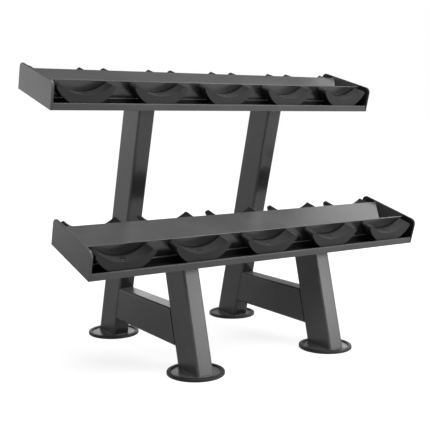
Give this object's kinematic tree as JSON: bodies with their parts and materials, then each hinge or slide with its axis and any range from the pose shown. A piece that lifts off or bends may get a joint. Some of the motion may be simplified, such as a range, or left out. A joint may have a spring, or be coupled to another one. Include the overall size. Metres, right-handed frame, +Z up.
{
  "type": "dumbbell rack",
  "caption": "Two-tier dumbbell rack: sloping trays with moulded saddles either side of a raised spine, on leaning box-section legs with round feet.",
  "frame": {"origin": "on the floor, under the middle of the rack's overall box", "axes": "+X to the right along the trays, +Y to the back, +Z up; the user stands on the -Y side"},
  "size_m": [1.3, 0.7676, 0.9827],
  "materials": {
    "powder_coat": "satin charcoal powder coat",
    "saddle_plastic": "fine-grained black moulding",
    "foot_rubber": "moulded black rubber",
    "black_steel": "black oxide",
    "zinc_steel": "zinc plated"
  },
  "bodies": {
    "root": {"lower_end_plate_left": "powder_coat", "lower_end_plate_right": "powder_coat", "lower_front_rail": "powder_coat", "lower_rear_rail": "powder_coat", "lower_floor_plate": "powder_coat", "lower_spine_base": "powder_coat", "lower_spine": "powder_coat", "lower_saddle_1": "saddle_plastic", "lower_saddle_screw_1": "black_steel", "lower_saddle_2": "saddle_plastic", "lower_saddle_screw_2": "black_steel", "lower_saddle_3": "saddle_plastic", "lower_saddle_screw_3": "black_steel", "lower_saddle_4": "saddle_plastic", "lower_saddle_screw_4": "black_steel", "lower_saddle_5": "saddle_plastic", "lower_saddle_screw_5": "black_steel", "lower_head_plate_left": "powder_coat", "lower_head_bolt_left_1": "zinc_steel", "lower_head_bolt_left_2": "zinc_steel", "lower_head_plate_right": "powder_coat", "lower_head_bolt_right_1": "zinc_steel", "lower_head_bolt_right_2": "zinc_steel", "upper_end_plate_left": "powder_coat", "upper_end_plate_right": "powder_coat", "upper_front_rail": "powder_coat", "upper_rear_rail": "powder_coat", "upper_floor_plate": "powder_coat", "upper_spine_base": "powder_coat", "upper_spine": "powder_coat", "upper_saddle_1": "saddle_plastic", "upper_saddle_screw_1": "black_steel", "upper_saddle_2": "saddle_plastic", "upper_saddle_screw_2": "black_steel", "upper_saddle_3": "saddle_plastic", "upper_saddle_screw_3": "black_steel", "upper_saddle_4": "saddle_plastic", "upper_saddle_screw_4": "black_steel", "upper_saddle_5": "saddle_plastic", "upper_saddle_screw_5": "black_steel", "upper_head_plate_left": "powder_coat", "upper_head_bolt_left_1": "zinc_steel", "upper_head_bolt_left_2": "zinc_steel", "upper_head_plate_right": "powder_coat", "upper_head_bolt_right_1": "zinc_steel", "upper_head_bolt_right_2": "zinc_steel", "left_front_leg": "powder_coat", "left_rear_upright": "powder_coat", "left_brace": "powder_coat", "left_front_base_plate": "powder_coat", "left_rear_base_plate": "powder_coat", "left_front_foot": "foot_rubber", "left_rear_foot": "foot_rubber", "right_front_leg": "powder_coat", "right_rear_upright": "powder_coat", "right_brace": "powder_coat", "right_front_base_plate": "powder_coat", "right_rear_base_plate": "powder_coat", "right_front_foot": "foot_rubber", "right_rear_foot": "foot_rubber"}
  },
  "joints": []
}
